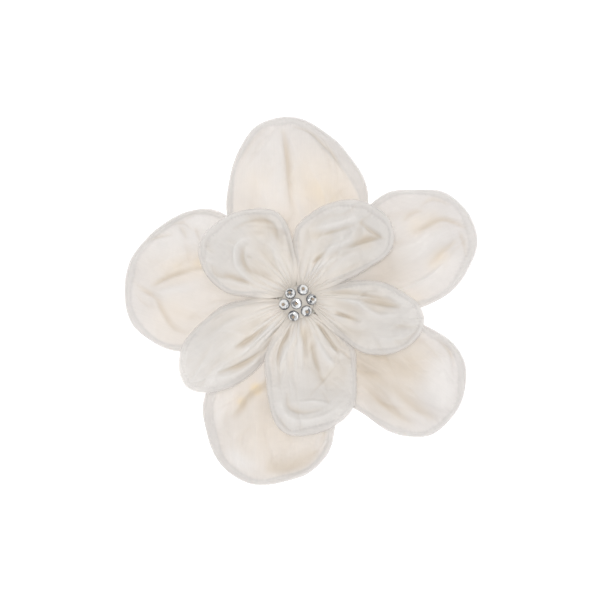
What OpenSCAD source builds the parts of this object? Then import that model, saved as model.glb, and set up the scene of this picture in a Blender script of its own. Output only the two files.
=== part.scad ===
// Flower hair clip: ten gathered silk petals in two rings around a cluster of
// sewn-on crystals, carried by a felt disc and a sprung alligator clip.
// +Z is the way the flower faces, +X the way the clip's jaws point, and z = 0
// is the underside of the clip's lower jaw. All sizes are in millimetres.

/* [Petals] */
// Longest reach of the outer petals, from the flower's centre
outer_reach = 67.5; // [60:0.5:72]
// Longest reach of the inner petals, from the flower's centre
inner_reach = 50; // [44:0.5:52]
// How far the outer petals' tips stand above their necks
outer_rise = 8; // [6:0.5:14]
// How far the inner petals' tips stand above their necks
inner_rise = 13; // [11:0.5:18]
// Thickness of a petal at its turned edge
petal_edge = 0.9; // [0.6:0.1:1.1]
// Extra thickness where a petal is puffed out in its middle
petal_puff = 1.7; // [0.5:0.1:2]

/* [Crystals] */
// Diameter of one crystal
crystal_d = 4; // [3:0.1:4]
// Diameter of the hole that a crystal is sewn through
crystal_hole_d = 0.9; // [0.8:0.05:1.1]
// Radius of the padded dome under the crystals
dome_r = 12; // [11:0.5:14]

/* [Backing] */
// Diameter of the felt disc
felt_d = 38; // [36:0.5:44]
// Thickness of the felt disc
felt_t = 1.2; // [1:0.1:2]
// Diameter of the stiff disc between felt and petals
buckram_d = 32; // [28:0.5:34]
// Thickness of the stiff disc
buckram_t = 0.8; // [0.6:0.1:1]

/* [Clip] */
// Length of the clip from its grip to its jaw tip
clip_length = 54; // [50:0.5:58]
// Width of the upper arm
upper_w = 10.2; // [10.2:0.1:12]
// Width of the lower arm
lower_w = 8; // [7:0.1:8]
// Thickness of the clip's steel
steel_t = 0.8; // [0.7:0.05:0.9]
// Height of the upper arm's top face
clip_top = 8.6; // [8.6:0.1:9.4]
// Diameter of the hinge pin
pin_d = 2; // [1.6:0.1:2]
// Diameter of the spring's wire
wire_d = 0.6; // [0.5:0.05:0.65]
// How far the clip is opened when drawn
opening = 0; // [0:1:20]

/* [Hidden] */
$fn = 48;

// One petal: [direction in degrees, reach, left half-width, right half-width,
//   where the left side is widest, where the right side is widest,
//   left roundness, right roundness, sideways bend of the tip,
//   roll in degrees, cup of the edges in mm]
// Lengths are shares of the ring's reach; left is anticlockwise seen from above.
OUTER = [
    [87, 0.95, 0.375, 0.37, 0.4, 0.55, 1.8, 1.8, 0.12, 9, -0.5],
    [22, 0.985, 0.32, 0.29, 0.6, 0.6, 1.8, 2.2, 0.05, 8, 1],
    [-38, 1, 0.305, 0.28, 0.7, 0.5, 1.8, 3, 0.03, 9, 0.5],
    [-90, 0.955, 0.285, 0.45, 0.8, 0.45, 2, 1.8, -0.205, 8, -0.5],
    [160, 0.89, 0.43, 0.34, 0.5, 0.65, 2, 1.8, 0.13, 8, 0]
];
INNER = [
    [135, 0.795, 0.31, 0.365, 0.55, 0.65, 1.8, 1.8, 0.1, -5, 3],
    [64, 0.825, 0.27, 0.36, 0.55, 0.65, 1.8, 1.8, -0.14, -6, 2],
    [2, 0.865, 0.17, 0.355, 0.65, 0.5, 1.8, 1.8, -0.155, -7, 1],
    [-82, 0.935, 0.36, 0.295, 0.45, 0.4, 3, 2.6, -0.07, -8, 1],
    [213, 0.995, 0.245, 0.275, 0.55, 0.5, 1.8, 2.2, 0.06, -6, -1.5]
];

// Necks of the two petal rings: [radius, half-width, height]
felt_z = clip_top;
buckram_z = felt_z + felt_t;
petal_z = buckram_z + buckram_t;
OUTER_NECK = [7, 2.6, petal_z + 1.1];
INNER_NECK = [4, 1.7, petal_z + 3];
outer_arch = 1.6;
inner_arch = 1.2;
petal_rows = 14;
petal_columns = 8;
roll_start = 0.12;

// Thread rings that draw the necks together
gather_wire = 0.5;
outer_gather_r = 7.9;
outer_gather_z = OUTER_NECK[2] + petal_edge / 2 + 0.7;
inner_gather_r = 4.7;
inner_gather_z = INNER_NECK[2] + petal_edge / 2 + 0.8;

// Crystal cluster: where each stone sits, seen from above
CRYSTALS = [[-2.9, 2.1], [1.2, 3.3], [4.1, 0.1], [2.4, -3.7], [-1.8, -5.3], [-4.9, -1.5], [-0.9, -1.2]];
dome_x = -0.5;
dome_y = -1;
dome_edge_r = 5.6;
dome_top = petal_z + 7;
stalk_r = 2.6;
stalk_top = dome_top - 1.6;
crystal_t = 1.6;
crystal_back_r = crystal_d * 0.3;
crystal_table_r = crystal_d * 0.33;
girdle_low = 0.6;
girdle_high = 0.8;
sewing_gap = 0.1;
knot_r = 0.55;

// Clip: pivot, jaw and grip
pivot_x = -6;
pivot_z = 4.4;
grip_x = -25;
tip_x = grip_x + clip_length;
ear_w = 6;
ear_r = 2.2;
lower_ear_r = 2;
running_gap = 0.05;
pin_head_r = 1.5;
pin_head_t = 0.4;
upper_under = clip_top - steel_t;
belly_start = 0;
belly_end = 13;
rise_end = 26;
hump = 1.2;
jaw_rise = upper_under - steel_t - 0.9;
tooth_h = 0.5;
spring_turns = 4;
spring_r = 1.65;
spring_leg = 8;

// Half-width of one side of a petal at share u of its length
function side_width(u, width, peak, roundness, neck) =
    u < peak
        ? neck + (width - neck) * sin(90 * u / peak)
        : width * pow(max(0, 1 - pow((u - peak) / (1 - peak), roundness)), 1 / roundness);

// Height of a petal's middle layer above its neck, q across from -1 to 1
function layer_height(u, q, half, p, rise, arch) =
    rise * pow(u, 1.2)
    + arch * 4 * u * (1 - u)
    + tan(p[9]) * min(1, u / roll_start) * q * half
    + p[10] * pow(q, 2) * sin(180 * pow(u, 0.8));

// A point on the upper (side = 1) or lower (side = -1) skin of a petal
function petal_point(u, q, side, p, size, neck, rise, arch) =
    let (
        half = side_width(u, size * (q > 0 ? p[2] : p[3]), q > 0 ? p[4] : p[5], q > 0 ? p[6] : p[7], neck[1]),
        x = neck[0] + (size * p[1] - neck[0]) * u,
        y = q * half + size * p[8] * pow(u, 2),
        thick = petal_edge + petal_puff * (1 - pow(q, 2)) * sin(180 * pow(u, 0.6))
    )
    [x, y, neck[2] + layer_height(u, q, half, p, rise, arch) + side * thick / 2];

// A closed petal: two skins joined around the turned edge
module petal(p, size, neck, rise, arch) {
    rows = petal_rows;
    columns = petal_columns;
    row_size = columns + 1;
    skin_size = rows * row_size + 1;
    tip = rows * row_size;
    points = [
        for (side = [1, -1])
            for (k = [0 : skin_size - 1])
                k == tip
                    ? petal_point(1, 0, side, p, size, neck, rise, arch)
                    : petal_point(
                        sin(90 * floor(k / row_size) / rows),
                        2 * (k % row_size) / columns - 1,
                        side, p, size, neck, rise, arch
                    )
    ];
    skin = [
        for (i = [0 : rows - 2])
            for (j = [0 : columns - 1])
                let (a = i * row_size + j, b = a + 1, c = b + row_size, d = a + row_size)
                each [[a, b, c], [a, c, d]],
        for (j = [0 : columns - 1])
            let (a = (rows - 1) * row_size + j)
            [a, a + 1, tip]
    ];
    rim = [
        for (j = [0 : columns]) j,
        for (i = [1 : rows - 1]) i * row_size + columns,
        tip,
        for (i = [rows - 1 : -1 : 1]) i * row_size
    ];
    under = [for (f = skin) [f[2] + skin_size, f[1] + skin_size, f[0] + skin_size]];
    wall = [
        for (k = [0 : len(rim) - 1])
            let (a = rim[k], b = rim[(k + 1) % len(rim)])
            each [[b, a, a + skin_size], [b, a + skin_size, b + skin_size]]
    ];
    rotate([0, 0, p[0]])
        polyhedron(points, concat(skin, under, wall));
}

module outer_petal(i) {
    color("ivory")
        petal(OUTER[i], outer_reach, OUTER_NECK, outer_rise, outer_arch);
}

module inner_petal(i) {
    color("linen")
        petal(INNER[i], inner_reach, INNER_NECK, inner_rise, inner_arch);
}

// Puts its children on the dome under crystal i, facing straight out of it
module on_dome(i) {
    from_axis = [CRYSTALS[i][0] - dome_x, CRYSTALS[i][1] - dome_y];
    bearing = atan2(from_axis[1], from_axis[0]);
    lean = asin(norm(from_axis) / dome_r);
    translate([dome_x, dome_y, dome_top - dome_r])
        rotate([0, lean, bearing])
            translate([0, 0, dome_r + sewing_gap])
                children();
}

// A round stone with a sloping crown, a sloping back and a sewing hole
module crystal(i) {
    color("lightsteelblue")
        on_dome(i)
            rotate_extrude()
                polygon([
                    [crystal_hole_d / 2, 0],
                    [crystal_back_r, 0],
                    [crystal_d / 2, girdle_low],
                    [crystal_d / 2, girdle_high],
                    [crystal_table_r, crystal_t],
                    [crystal_hole_d / 2, crystal_t]
                ]);
}

// The threads that hold the crystals, each with its knot on top
module crystal_ties() {
    color("rosybrown")
        for (i = [0 : len(CRYSTALS) - 1])
            on_dome(i) {
                cylinder(h = crystal_t + knot_r, d = crystal_hole_d - 0.2, $fn = 16);
                translate([0, 0, crystal_t + knot_r])
                    sphere(knot_r, $fn = 16);
            }
}

// The padded button that the crystals are sewn to
module bead_pad() {
    color("whitesmoke")
        translate([dome_x, dome_y, 0]) {
            translate([0, 0, petal_z])
                cylinder(h = stalk_top - petal_z + 0.2, r = stalk_r);
            intersection() {
                translate([0, 0, dome_top - dome_r])
                    sphere(dome_r);
                translate([0, 0, stalk_top])
                    cylinder(h = dome_top - stalk_top + 1, r = dome_edge_r);
            }
        }
}

module gather_ring(radius, height) {
    translate([0, 0, height])
        rotate_extrude()
            translate([radius, 0])
                circle(d = gather_wire, $fn = 16);
}

module outer_gather_thread() {
    color("white")
        gather_ring(outer_gather_r, outer_gather_z);
}

module inner_gather_thread() {
    color("white")
        gather_ring(inner_gather_r, inner_gather_z);
}

module buckram_disc() {
    color("gainsboro")
        translate([0, 0, buckram_z])
            cylinder(h = buckram_t, d = buckram_d, $fn = 96);
}

module felt_backing() {
    color("white")
        translate([0, 0, felt_z])
            cylinder(h = felt_t, d = felt_d, $fn = 96);
}

// Running stitches around the felt's back, left out where the clip lies
module felt_stitches() {
    stitch_count = 28;
    stitch_r = felt_d / 2 - 1.8;
    stitch_length = 2.2;
    stitch_d = 0.4;
    clear_y = upper_w / 2 + 1.6;
    color("whitesmoke")
        for (k = [0 : stitch_count - 1])
            let (angle = 360 * (k + 0.5) / stitch_count)
            if (abs(stitch_r * sin(angle)) > clear_y)
                rotate([0, 0, angle])
                    translate([stitch_r, 0, felt_z - stitch_d / 2]) {
                        rotate([90, 0, 0])
                            cylinder(h = stitch_length, d = stitch_d, center = true, $fn = 16);
                        for (end = [-1, 1])
                            translate([0, end * stitch_length / 2, 0])
                                sphere(d = stitch_d, $fn = 16);
                    }
}

// A flat bar in plan with round ends
module bar_outline(x0, x1, width) {
    end_r = width / 2;
    translate([x0 + end_r, -end_r])
        square([x1 - x0 - width, width]);
    for (x = [x0 + end_r, x1 - end_r])
        translate([x, 0])
            circle(end_r);
}

// One hinge ear: a round end at the pivot and a straight root up to level top
module ear_outline(radius, top) {
    translate([pivot_x, pivot_z])
        circle(radius);
    translate([pivot_x - radius, min(top, pivot_z)])
        square([2 * radius, abs(top - pivot_z)]);
}

// A pair of ears standing on both sides, bored for the pin
module ears(outer_width, radius, top, bore_d) {
    for (side = [-1, 1])
        translate([0, side * (outer_width - steel_t) / 2, 0])
            rotate([90, 0, 0])
                linear_extrude(steel_t, center = true)
                    difference() {
                        ear_outline(radius, top);
                        translate([pivot_x, pivot_z])
                            circle(d = bore_d);
                    }
}

// The arm that is sewn under the flower, with gripping teeth and finger ribs
module clip_upper_arm() {
    tooth_pitch = 1.6;
    tooth_count = 4;
    rib_count = 3;
    rib_pitch = 1.4;
    color("silver") {
        translate([0, 0, upper_under])
            linear_extrude(steel_t)
                bar_outline(grip_x, tip_x, upper_w);
        ears(upper_w, ear_r, upper_under + steel_t / 2, pin_d + 2 * running_gap);
        for (k = [0 : tooth_count - 1])
            translate([tip_x - 4 - k * tooth_pitch, 0, upper_under])
                rotate([90, 0, 0])
                    cylinder(h = upper_w - 5, r = tooth_h, center = true, $fn = 16);
        for (k = [0 : rib_count - 1])
            translate([grip_x + 1.5 + k * rib_pitch, 0, clip_top - 0.1])
                rotate([90, 0, 0])
                    cylinder(h = upper_w - 6, r = 0.35, center = true, $fn = 16);
    }
}

// Rises smoothly from 0 to 1 as t goes from 0 to 1
function ease(t) = t * t * (3 - 2 * t);

// Height of the lower arm's underside at x
function arm_z(x) =
    x < pivot_x ? hump * ease((x - grip_x) / (pivot_x - grip_x))
    : x < belly_start ? hump * (1 - ease((x - pivot_x) / (belly_start - pivot_x)))
    : x < belly_end ? 0
    : x < rise_end ? jaw_rise * ease((x - belly_end) / (rise_end - belly_end))
    : jaw_rise;

// The arm that swings: grip, hinge ears, flat belly and a jaw that curves up
module clip_lower_arm() {
    steps = 54;
    xs = [for (k = [0 : steps]) grip_x + (tip_x - grip_x) * k / steps];
    profile = concat(
        [for (x = xs) [x, arm_z(x)]],
        [for (k = [steps : -1 : 0]) [xs[k], arm_z(xs[k]) + steel_t]]
    );
    color("silver")
        translate([pivot_x, 0, pivot_z])
            rotate([0, opening, 0])
                translate([-pivot_x, 0, -pivot_z]) {
                    intersection() {
                        rotate([90, 0, 0])
                            linear_extrude(lower_w, center = true)
                                polygon(profile);
                        translate([0, 0, -1])
                            linear_extrude(clip_top)
                                bar_outline(grip_x, tip_x, lower_w);
                    }
                    ears(lower_w, lower_ear_r, hump + steel_t / 2, pin_d + 2 * running_gap);
                }
}

// The pin, with its two peened heads outside the upper arm's ears
module clip_hinge_pin() {
    head_y = upper_w / 2 + running_gap;
    color("gray")
        translate([pivot_x, 0, pivot_z])
            rotate([90, 0, 0]) {
                cylinder(h = 2 * head_y + 0.2, d = pin_d, center = true);
                for (side = [-1, 1])
                    translate([0, 0, side * (head_y + pin_head_t / 2)])
                        cylinder(h = pin_head_t, r = pin_head_r, center = true);
            }
}

// Centre line of the spring: a leg, the turns around the pin, and a second leg
function spring_path() =
    let (
        steps = 14 * spring_turns,
        pitch = wire_d + 0.12,
        half = pitch * spring_turns / 2,
        sweep = 360 * spring_turns - 180,
        upper_z = upper_under - pivot_z - wire_d / 2 - 0.05
    )
    concat(
        [[-spring_leg, -half, upper_z], [-spring_leg / 2, -half, upper_z]],
        [for (k = [0 : steps])
            let (angle = 90 - sweep * k / steps)
            [spring_r * cos(angle), -half + 2 * half * k / steps, spring_r * sin(angle)]],
        [[-spring_leg / 2, half, -spring_r + 0.35], [-spring_leg, half, -spring_r - 0.55]]
    );

// A round wire swept along a path, its rings kept square to the path
module wire(path, d) {
    sides = 8;
    last = len(path) - 1;
    points = [
        for (i = [0 : last])
            let (
                along = path[min(i + 1, last)] - path[max(i - 1, 0)],
                t = along / norm(along),
                n = cross([0, 1, 0], t) / norm(cross([0, 1, 0], t)),
                b = cross(t, n)
            )
            for (k = [0 : sides - 1])
                path[i] + d / 2 * (cos(360 * k / sides) * n + sin(360 * k / sides) * b)
    ];
    body = [
        for (i = [0 : last - 1])
            for (k = [0 : sides - 1])
                let (a = i * sides + k, b = i * sides + (k + 1) % sides)
                each [[a, a + sides, b + sides], [a, b + sides, b]]
    ];
    ends = [
        [for (k = [0 : sides - 1]) k],
        [for (k = [sides - 1 : -1 : 0]) last * sides + k]
    ];
    polyhedron(points, concat(body, ends));
}

module clip_spring() {
    color("dimgray")
        translate([pivot_x, 0, pivot_z])
            wire(spring_path(), wire_d);
}

// Thread loops that hold the upper arm against the felt
module clip_stitches() {
    thread_d = 0.5;
    loop_y = upper_w / 2 + 0.4;
    under_z = upper_under - 0.3;
    color("white")
        for (x = [-16.2, -15.4, 2.6, 3.4, 14.6, 15.4])
            translate([x, 0, 0]) {
                translate([0, 0, under_z])
                    rotate([90, 0, 0])
                        cylinder(h = 2 * loop_y, d = thread_d, center = true, $fn = 16);
                for (side = [-1, 1])
                    translate([0, side * loop_y, under_z]) {
                        sphere(d = thread_d, $fn = 16);
                        cylinder(h = felt_z - under_z, d = thread_d, $fn = 16);
                    }
            }
}

outer_petal(0);  // outer_petal_1
outer_petal(1);  // outer_petal_2
outer_petal(2);  // outer_petal_3
outer_petal(3);  // outer_petal_4
outer_petal(4);  // outer_petal_5
inner_petal(0);  // inner_petal_1
inner_petal(1);  // inner_petal_2
inner_petal(2);  // inner_petal_3
inner_petal(3);  // inner_petal_4
inner_petal(4);  // inner_petal_5
crystal(0);  // crystal_1
crystal(1);  // crystal_2
crystal(2);  // crystal_3
crystal(3);  // crystal_4
crystal(4);  // crystal_5
crystal(5);  // crystal_6
crystal(6);  // crystal_7
crystal_ties();
bead_pad();
outer_gather_thread();
inner_gather_thread();
buckram_disc();
felt_backing();
felt_stitches();
clip_upper_arm();
clip_lower_arm();
clip_hinge_pin();
clip_spring();
clip_stitches();
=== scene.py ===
import math

import bpy
import numpy as np
from mathutils import Matrix, Vector


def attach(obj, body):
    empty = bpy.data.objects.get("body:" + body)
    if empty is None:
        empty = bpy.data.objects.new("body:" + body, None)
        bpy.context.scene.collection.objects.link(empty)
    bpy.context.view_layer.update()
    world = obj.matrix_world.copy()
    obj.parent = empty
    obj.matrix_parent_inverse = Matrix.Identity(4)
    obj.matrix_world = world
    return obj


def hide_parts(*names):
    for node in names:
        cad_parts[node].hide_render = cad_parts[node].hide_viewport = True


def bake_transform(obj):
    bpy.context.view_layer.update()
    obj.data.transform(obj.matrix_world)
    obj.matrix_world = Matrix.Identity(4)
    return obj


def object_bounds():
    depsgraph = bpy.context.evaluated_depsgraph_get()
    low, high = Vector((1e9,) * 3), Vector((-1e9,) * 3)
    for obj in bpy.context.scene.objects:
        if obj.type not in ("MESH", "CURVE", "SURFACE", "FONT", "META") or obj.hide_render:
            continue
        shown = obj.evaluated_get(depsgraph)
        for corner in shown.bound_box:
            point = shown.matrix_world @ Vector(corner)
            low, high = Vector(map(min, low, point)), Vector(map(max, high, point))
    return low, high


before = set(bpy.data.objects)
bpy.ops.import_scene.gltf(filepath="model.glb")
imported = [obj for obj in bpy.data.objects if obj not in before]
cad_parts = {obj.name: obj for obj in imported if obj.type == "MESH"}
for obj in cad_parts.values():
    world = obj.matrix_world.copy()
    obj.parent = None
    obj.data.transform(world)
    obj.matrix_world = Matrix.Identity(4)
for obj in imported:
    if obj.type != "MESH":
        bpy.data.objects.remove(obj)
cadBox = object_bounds()
mm = 0.001
rootBody = "flower"
print("frame loaded:", len(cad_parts), "nodes")


# small mesh helpers

def makeMesh(name, points, faces, smooth=True):
    # points are in millimetres
    mesh = bpy.data.meshes.new(name)
    mesh.from_pydata((np.asarray(points, float) * mm).tolist(), [], [list(f) for f in faces])
    mesh.validate()
    mesh.polygons.foreach_set("use_smooth", [smooth] * len(mesh.polygons))
    piece = bpy.data.objects.new(name, mesh)
    bpy.context.scene.collection.objects.link(piece)
    return piece


def addPointValues(piece, name, values):
    layer = piece.data.attributes.new(name, "FLOAT", "POINT")
    layer.data.foreach_set("value", np.asarray(values, np.float32))


def addPointVectors(piece, name, vectors):
    layer = piece.data.attributes.new(name, "FLOAT_VECTOR", "POINT")
    layer.data.foreach_set("vector", np.asarray(vectors, np.float32).ravel())


def addFaceValues(piece, name, values):
    layer = piece.data.attributes.new(name, "FLOAT", "FACE")
    layer.data.foreach_set("value", np.asarray(values, np.float32))


def smoothStep(value, low, high):
    t = np.clip((value - low) / (high - low), 0, 1)
    return t * t * (3 - 2 * t)


def softWaves(x, y, seed, size, count=7):
    # gentle undulation from a few crossing waves, about -1 to 1
    rng = np.random.default_rng(seed)
    total = np.zeros_like(x)
    for _ in range(count):
        heading = rng.uniform(0, 2 * math.pi)
        length = size * rng.uniform(0.7, 1.6)
        phase = rng.uniform(0, 2 * math.pi)
        total += np.sin((x * math.cos(heading) + y * math.sin(heading)) * 2 * math.pi / length + phase)
    return total / math.sqrt(count) / 1.4


def curveThrough(points, samples=48):
    # Catmull-Rom through the given points
    p = np.asarray(points, float)
    if len(p) == 2:
        t = np.linspace(0, 1, samples)[:, None]
        return p[0] * (1 - t) + p[1] * t
    padded = np.vstack([2 * p[0] - p[1], p, 2 * p[-1] - p[-2]])
    spans = len(p) - 1
    out = []
    for k in np.linspace(0, spans - 1e-6, samples):
        i = int(k)
        t = k - i
        a, b, c, d = padded[i:i + 4]
        out.append(0.5 * (2 * b + (c - a) * t + (2 * a - 5 * b + 4 * c - d) * t * t
                          + (3 * b - a - 3 * c + d) * t ** 3))
    return np.array(out)


def tubeAlong(path, radius, sides=6, closed=False):
    # points and faces of a round tube swept along a path
    path = np.asarray(path, float)
    count = len(path)
    if closed:
        along = np.roll(path, -1, 0) - np.roll(path, 1, 0)
    else:
        along = np.gradient(path, axis=0)
    along /= np.linalg.norm(along, axis=1)[:, None]
    normal = np.cross(along[0], (0.3, 0.2, 1.0))
    normal /= np.linalg.norm(normal)
    points, faces = [], []
    for i in range(count):
        normal = normal - along[i] * np.dot(normal, along[i])
        normal /= np.linalg.norm(normal)
        side = np.cross(along[i], normal)
        for k in range(sides):
            angle = 2 * math.pi * k / sides
            points.append(path[i] + radius * (math.cos(angle) * normal + math.sin(angle) * side))
    for i in range(count if closed else count - 1):
        a, b = i * sides, (i + 1) % count * sides
        for k in range(sides):
            n = (k + 1) % sides
            faces.append((a + k, a + n, b + n, b + k))
    if not closed:
        faces.append(tuple(range(sides))[::-1])
        faces.append(tuple((count - 1) * sides + k for k in range(sides)))
    return points, faces


def joinParts(parts):
    points, faces = [], []
    for p, f in parts:
        base = len(points)
        points += [tuple(v) for v in p]
        faces += [tuple(i + base for i in face) for face in f]
    return points, faces


def twistedThread(path, radius, twistLength, plies=2, closed=False):
    # plies laid round each other, as sewing thread is
    path = np.asarray(path, float)
    step = np.linalg.norm(np.diff(path, axis=0), axis=1)
    travelled = np.concatenate([[0], np.cumsum(step)])
    total = travelled[-1] + (np.linalg.norm(path[0] - path[-1]) if closed else 0)
    turns = max(1, round(total / twistLength)) if closed else total / twistLength
    along = np.gradient(path, axis=0)
    along /= np.linalg.norm(along, axis=1)[:, None]
    normal = np.cross(along, (0.13, 0.21, 1.0))
    normal /= np.linalg.norm(normal, axis=1)[:, None]
    side = np.cross(along, normal)
    ply = radius * 0.52
    parts = []
    for k in range(plies):
        angle = 2 * math.pi * (turns * travelled / total + k / plies)
        strand = path + ply * (np.cos(angle)[:, None] * normal + np.sin(angle)[:, None] * side)
        parts.append(tubeAlong(strand, ply * 1.05, 6, closed))
    return joinParts(parts)


# small material helpers

def newMaterial(name):
    material = bpy.data.materials.new(name)
    material.use_nodes = True
    tree = material.node_tree
    tree.nodes.clear()
    return material, tree


def addNode(tree, kind, settings=None, **inputs):
    node = tree.nodes.new(kind)
    for key, value in (settings or {}).items():
        setattr(node, key, value)
    for key, value in inputs.items():
        socket = node.inputs[int(key[1:])] if key[0] == "i" and key[1:].isdigit() else node.inputs[key]
        if isinstance(value, bpy.types.NodeSocket):
            tree.links.new(value, socket)
        else:
            socket.default_value = value
    return node


def readValue(tree, name):
    return addNode(tree, "ShaderNodeAttribute", {"attribute_name": name}).outputs["Fac"]


def readVector(tree, name):
    return addNode(tree, "ShaderNodeAttribute", {"attribute_name": name}).outputs["Vector"]


def mathNode(tree, operation, *values, clamp=False):
    settings = {"operation": operation, "use_clamp": clamp}
    sockets = {f"i{k}": value for k, value in enumerate(values)}
    return addNode(tree, "ShaderNodeMath", settings, **sockets).outputs[0]


def mixColour(tree, share, a, b, blend="MIX"):
    node = tree.nodes.new("ShaderNodeMix")
    node.data_type = "RGBA"
    node.blend_type = blend
    for socket, value in ((node.inputs[0], share), (node.inputs[6], a), (node.inputs[7], b)):
        if isinstance(value, bpy.types.NodeSocket):
            tree.links.new(value, socket)
        elif isinstance(value, (int, float)):
            socket.default_value = value
        else:
            socket.default_value = (*value, 1.0)
    return node.outputs[2]


def scaleVector(tree, vector, factors):
    # each direction times its own factor
    return addNode(tree, "ShaderNodeVectorMath", {"operation": "MULTIPLY"}, i0=vector, i1=factors).outputs[0]


def noiseNode(tree, vector, scale, detail=3.0, roughness=0.5):
    return addNode(tree, "ShaderNodeTexNoise", Vector=vector, Scale=scale, Detail=detail,
                   Roughness=roughness).outputs["Fac"]


def objectPlace(tree):
    return addNode(tree, "ShaderNodeTexCoord").outputs["Object"]


def bumpNode(tree, height, strength, distance):
    bump = addNode(tree, "ShaderNodeBump", Strength=strength, Distance=distance, Height=height)
    return bump.outputs["Normal"]


def skinNode(tree, colour, rough, settings, **more):
    # the main shader; its plain numbers are set on its own sockets
    skin = addNode(tree, "ShaderNodeBsdfPrincipled", Roughness=rough, **more)
    tree.links.new(colour, skin.inputs["Base Color"])
    for socket, number in settings.items():
        skin.inputs[socket].default_value = number
    return skin.outputs[0]


def finish(tree, shader):
    addNode(tree, "ShaderNodeOutputMaterial", Surface=shader)


def weavePattern(tree, vector, pitch):
    # over-and-under of warp and weft, from 0 to 1, pitch in millimetres
    split = addNode(tree, "ShaderNodeSeparateXYZ", Vector=vector)
    warp = mathNode(tree, "SINE", mathNode(tree, "MULTIPLY", split.outputs[0], 2 * math.pi / pitch))
    weft = mathNode(tree, "SINE", mathNode(tree, "MULTIPLY", split.outputs[1], 2 * math.pi / pitch))
    return mathNode(tree, "MULTIPLY_ADD", mathNode(tree, "MULTIPLY", warp, weft), 0.5, 0.5)


def giveMaterial(piece, material):
    piece.data.materials.clear()
    piece.data.materials.append(material)


def fitPiece(piece, material, slotName, *nodes):
    # its finish, the body it rides on and the node it stands for
    giveMaterial(piece, material)
    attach(piece, rootBody)
    if nodes:
        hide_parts(*nodes)


# camera, light and table

view = {"lens": 100, "sensor": 36, "field": 0.210, "petalHeight": 0.018, "centreX": 0.00035}
studio = {"tableSize": 3.0, "tableGlow": 0.62, "sky": 0.42, "keyWatts": 8.7, "keySize": 0.28,
          "keyPlace": (-0.03, 0.045, 1.1), "fillWatts": 1.2, "fillSize": 0.7, "fillPlace": (0.6, -0.5, 0.5)}


def makeCamera():
    data = bpy.data.cameras.new("camera")
    data.lens = view["lens"]
    data.sensor_width = view["sensor"]
    data.clip_start = 0.01
    camera = bpy.data.objects.new("camera", data)
    distance = view["field"] * view["lens"] / view["sensor"]
    camera.location = (view["centreX"], 0, view["petalHeight"] + distance)
    bpy.context.scene.collection.objects.link(camera)
    bpy.context.scene.camera = camera


def makeLight(name, place, size, watts):
    data = bpy.data.lights.new(name, "AREA")
    data.shape = "DISK"
    data.size = size
    data.energy = watts
    lamp = bpy.data.objects.new(name, data)
    lamp.location = place
    lamp.rotation_euler = Vector(place).to_track_quat("Z", "Y").to_euler()
    bpy.context.scene.collection.objects.link(lamp)


def makeStudio():
    world = bpy.data.worlds.new("studio")
    world.use_nodes = True
    world.node_tree.nodes["Background"].inputs[0].default_value = (1, 1, 1, 1)
    world.node_tree.nodes["Background"].inputs[1].default_value = studio["sky"]
    bpy.context.scene.world = world
    makeLight("keyLight", studio["keyPlace"], studio["keySize"], studio["keyWatts"])
    makeLight("fillLight", studio["fillPlace"], studio["fillSize"], studio["fillWatts"])
    half = studio["tableSize"] / 2 / mm
    table = makeMesh("table", [(-half, -half, 0), (half, -half, 0), (half, half, 0), (-half, half, 0)],
                     [(0, 1, 2, 3)])
    table.location.z = cadBox[0][2] - 0.0002
    material, tree = newMaterial("tableWhite")
    grain = noiseNode(tree, objectPlace(tree), 40)
    colour = mixColour(tree, grain, (0.93, 0.93, 0.93), (0.95, 0.95, 0.95))
    finish(tree, skinNode(tree, colour, 0.8, {"Emission Color": (1, 1, 1, 1),
                                              "Emission Strength": studio["tableGlow"]}))
    giveMaterial(table, material)


bpy.context.scene.view_settings.view_transform = "Standard"
makeCamera()
makeStudio()
print("camera, lights and table made")


# silk

# silk colours: plain and band are the silk's own; glow and the amber colour are painted warm light, as
# through layered silk; neck is painted light at the centre, where the petals shade each other; the crest
# colour is a painted highlight on ridges; the deep colour is painted shade in creases and at the neck
outerSilk = {"plain": (0.75, 0.725, 0.71), "glow": (0.79, 0.735, 0.67), "paintedShade": (0.66, 0.585, 0.49),
             "amberGlow": (0.88, 0.76, 0.56), "band": (0.68, 0.66, 0.645), "paintedHighlight": (0.82, 0.80, 0.785),
             "neck": (0.89, 0.84, 0.785), "through": 0.42, "sheer": 0.08, "rimSheer": 0.06,
             "edgeSheer": 0.35, "weavePitch": 0.26}
innerSilk = {"plain": (0.755, 0.73, 0.705), "glow": (0.78, 0.715, 0.635), "paintedShade": (0.62, 0.54, 0.44),
             "amberGlow": (0.80, 0.70, 0.56), "band": (0.735, 0.71, 0.69), "paintedHighlight": (0.86, 0.84, 0.82),
             "neck": (0.95, 0.90, 0.84), "through": 0.25, "sheer": 0.1, "rimSheer": 0.14,
             "edgeSheer": 0.6, "weavePitch": 0.24}
# both silks: how strongly cloudiness, weave and thick yarns change the shade and the roughness
yarn = {"cloudScale": 90, "cloudShade": 0.10, "darkest": 0.93, "weaveShade": 0.05, "slubShade": 0.07,
        "threadBase": 0.945, "slubStretch": (0.12, 1.7, 1.0), "slubRough": 0.14, "rough": 0.42,
        "slubHeight": 1.5, "bump": 0.25, "bumpDepth": 0.00012}
silkGloss = {"Sheen Weight": 0.25, "Sheen Roughness": 0.35, "Specular IOR Level": 0.35}


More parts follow.
